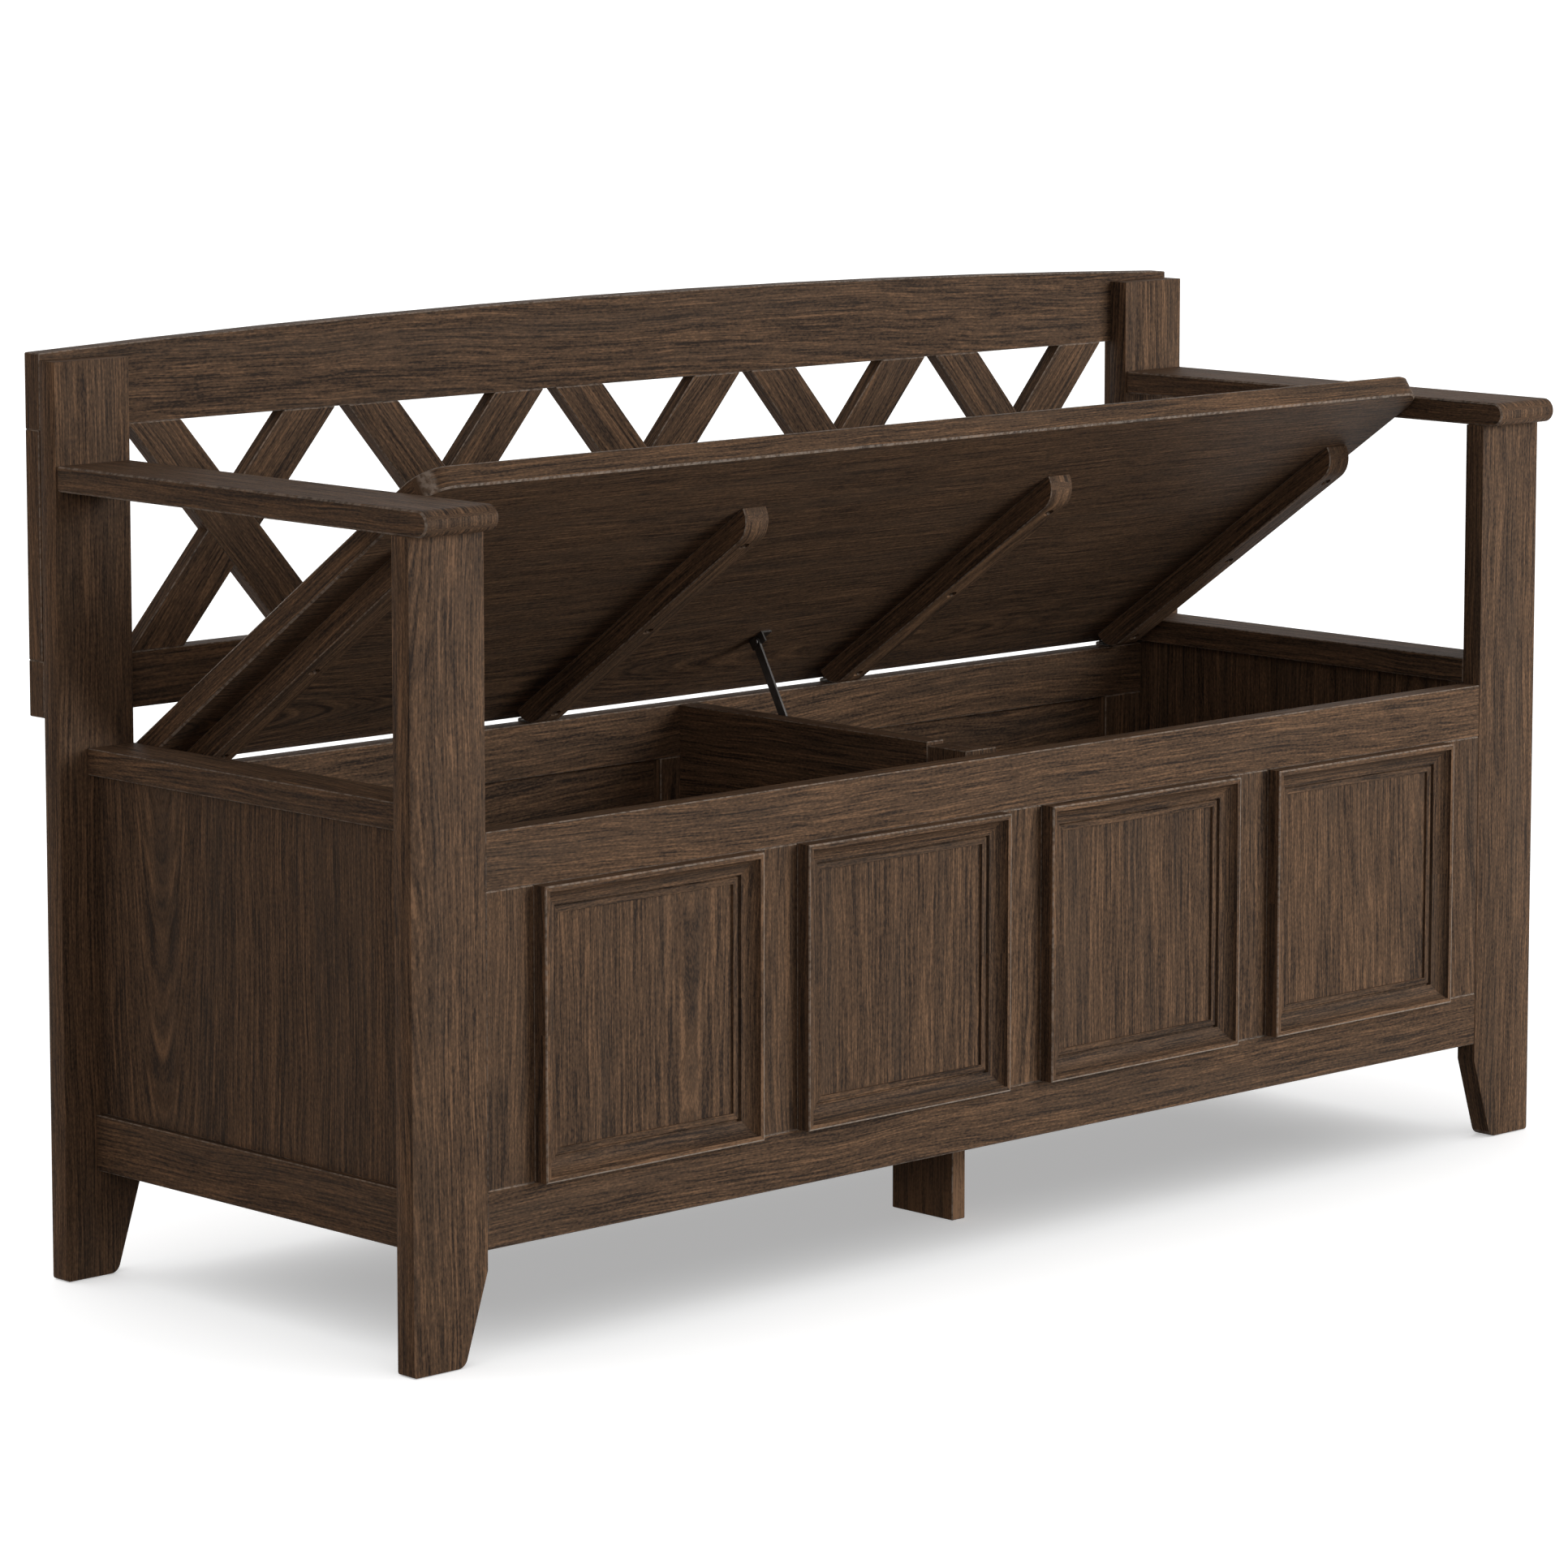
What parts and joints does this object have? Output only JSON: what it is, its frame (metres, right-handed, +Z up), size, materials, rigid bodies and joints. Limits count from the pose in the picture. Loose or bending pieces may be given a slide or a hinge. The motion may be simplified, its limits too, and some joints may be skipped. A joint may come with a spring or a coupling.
{
  "type": "settle bench",
  "caption": "Wooden settle bench with open arms, a latticed arched back, a panelled storage box and a hinged seat lid on a folding stay.",
  "frame": {"origin": "on the floor, under the middle of the bench's bounding box", "axes": "+X to the right as one faces the bench, +Y to its back, +Z up"},
  "size_m": [1.27, 0.4754, 0.7399],
  "materials": {
    "board_wood": "satin walnut stain",
    "upright_wood": "satin walnut stain",
    "moulding_wood": "satin walnut stain",
    "lattice_wood": "satin walnut stain",
    "dark_steel": "dark plated steel"
  },
  "bodies": {
    "bench": {"armrest_left": "board_wood", "armrest_right": "board_wood", "back_bottom_rail": "board_wood", "back_stile_left": "upright_wood", "back_stile_right": "upright_wood", "back_top_rail": "board_wood", "centre_leg": "upright_wood", "cleats_and_bearers": "board_wood", "divider_panel": "board_wood", "divider_posts": "upright_wood", "floor_panels": "board_wood", "front_bottom_rail": "board_wood", "front_leg_left": "upright_wood", "front_leg_right": "upright_wood", "front_panel_1": "upright_wood", "front_panel_2": "upright_wood", "front_panel_3": "upright_wood", "front_panel_4": "upright_wood", "front_stile_1": "upright_wood", "front_stile_2": "upright_wood", "front_stile_3": "upright_wood", "front_stile_4": "upright_wood", "front_stile_5": "upright_wood", "front_top_rail": "board_wood", "hinge_frame_leaves": "dark_steel", "hinge_pins": "dark_steel", "lattice_falling_slat_1": "lattice_wood", "lattice_falling_slat_2": "lattice_wood", "lattice_falling_slat_3": "lattice_wood", "lattice_falling_slat_4": "lattice_wood", "lattice_falling_slat_5": "lattice_wood", "lattice_rising_slat_1": "lattice_wood", "lattice_rising_slat_2": "lattice_wood", "lattice_rising_slat_3": "lattice_wood", "lattice_rising_slat_4": "lattice_wood", "lattice_rising_slat_5": "lattice_wood", "panel_moulding_1": "moulding_wood", "panel_moulding_2": "moulding_wood", "panel_moulding_3": "moulding_wood", "panel_moulding_4": "moulding_wood", "rear_bottom_rail": "board_wood", "rear_box_panels": "upright_wood", "rear_box_stiles": "upright_wood", "rear_leg_left": "upright_wood", "rear_leg_right": "upright_wood", "rear_top_rail": "board_wood", "side_bottom_rail_left": "board_wood", "side_bottom_rail_right": "board_wood", "side_cap_left": "board_wood", "side_cap_right": "board_wood", "side_panel_left": "upright_wood", "side_panel_right": "upright_wood", "stay_base_plate": "dark_steel"},
    "lid": {"lid_board": "board_wood", "lid_battens": "board_wood", "batten_screws": "dark_steel", "hinge_lid_leaves": "dark_steel", "stay_lid_bracket": "dark_steel"},
    "upper_arm": {"stay_upper_arm": "dark_steel"},
    "lower_arm": {"stay_lower_arm": "dark_steel"}
  },
  "joints": [
    {"name": "lid_hinge", "type": "hinge", "parent": "bench", "child": "lid", "pos_m": [0, 0.19821, 0.39705], "axis": [-1, 0, 0], "range_deg": [-34.85, 45.15]},
    {"name": "stay_upper_pivot", "type": "hinge", "parent": "lid", "child": "upper_arm", "pos_m": [0.0205, 0.11008, 0.45354], "axis": [-1, 0, 0], "range_deg": [-45.15, 34.85]},
    {"name": "stay_lower_pivot", "type": "hinge", "parent": "bench", "child": "lower_arm", "pos_m": [0.0228, 0.11094, 0.23962], "axis": [-1, 0, 0], "range_deg": [-34.85, 45.15]}
  ],
  "couplings": [
    {"joint": "stay_upper_pivot", "follows": "lid_hinge", "ratio": -1},
    {"joint": "stay_lower_pivot", "follows": "lid_hinge", "ratio": 1}
  ]
}
